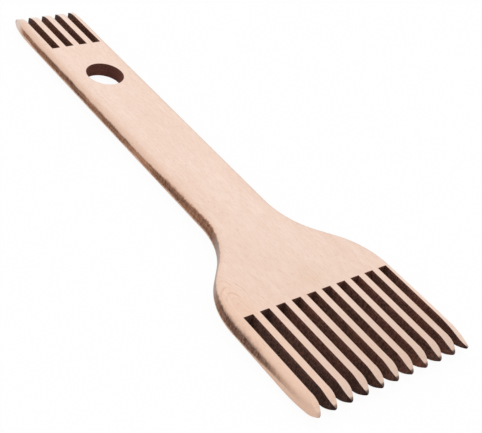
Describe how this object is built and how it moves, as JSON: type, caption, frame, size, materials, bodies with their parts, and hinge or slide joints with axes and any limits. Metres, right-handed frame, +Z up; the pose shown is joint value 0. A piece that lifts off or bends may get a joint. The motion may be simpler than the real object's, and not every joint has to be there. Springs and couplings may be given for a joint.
{
  "type": "weaving comb",
  "caption": "Flat wooden weaving comb: a broad row of teeth, a curved neck, a slim handle with a hanging hole and a narrow row of teeth, for beating weft down.",
  "frame": {"origin": "on the back face, under the middle of the comb's length and width", "axes": "+X along the comb towards the broad teeth, +Y across it, +Z up out of the face"},
  "size_m": [0.199, 0.0628, 0.005],
  "materials": {
    "face_beech": "satin",
    "crossband_beech": "matte",
    "core_beech": "matte",
    "glue": "matte"
  },
  "bodies": {
    "root": {"back_veneer": "face_beech", "back_glue_line": "glue", "lower_crossband": "crossband_beech", "lower_core_glue_line": "glue", "core_veneer": "core_beech", "upper_core_glue_line": "glue", "upper_crossband": "crossband_beech", "face_glue_line": "glue", "face_veneer": "face_beech"}
  },
  "joints": []
}
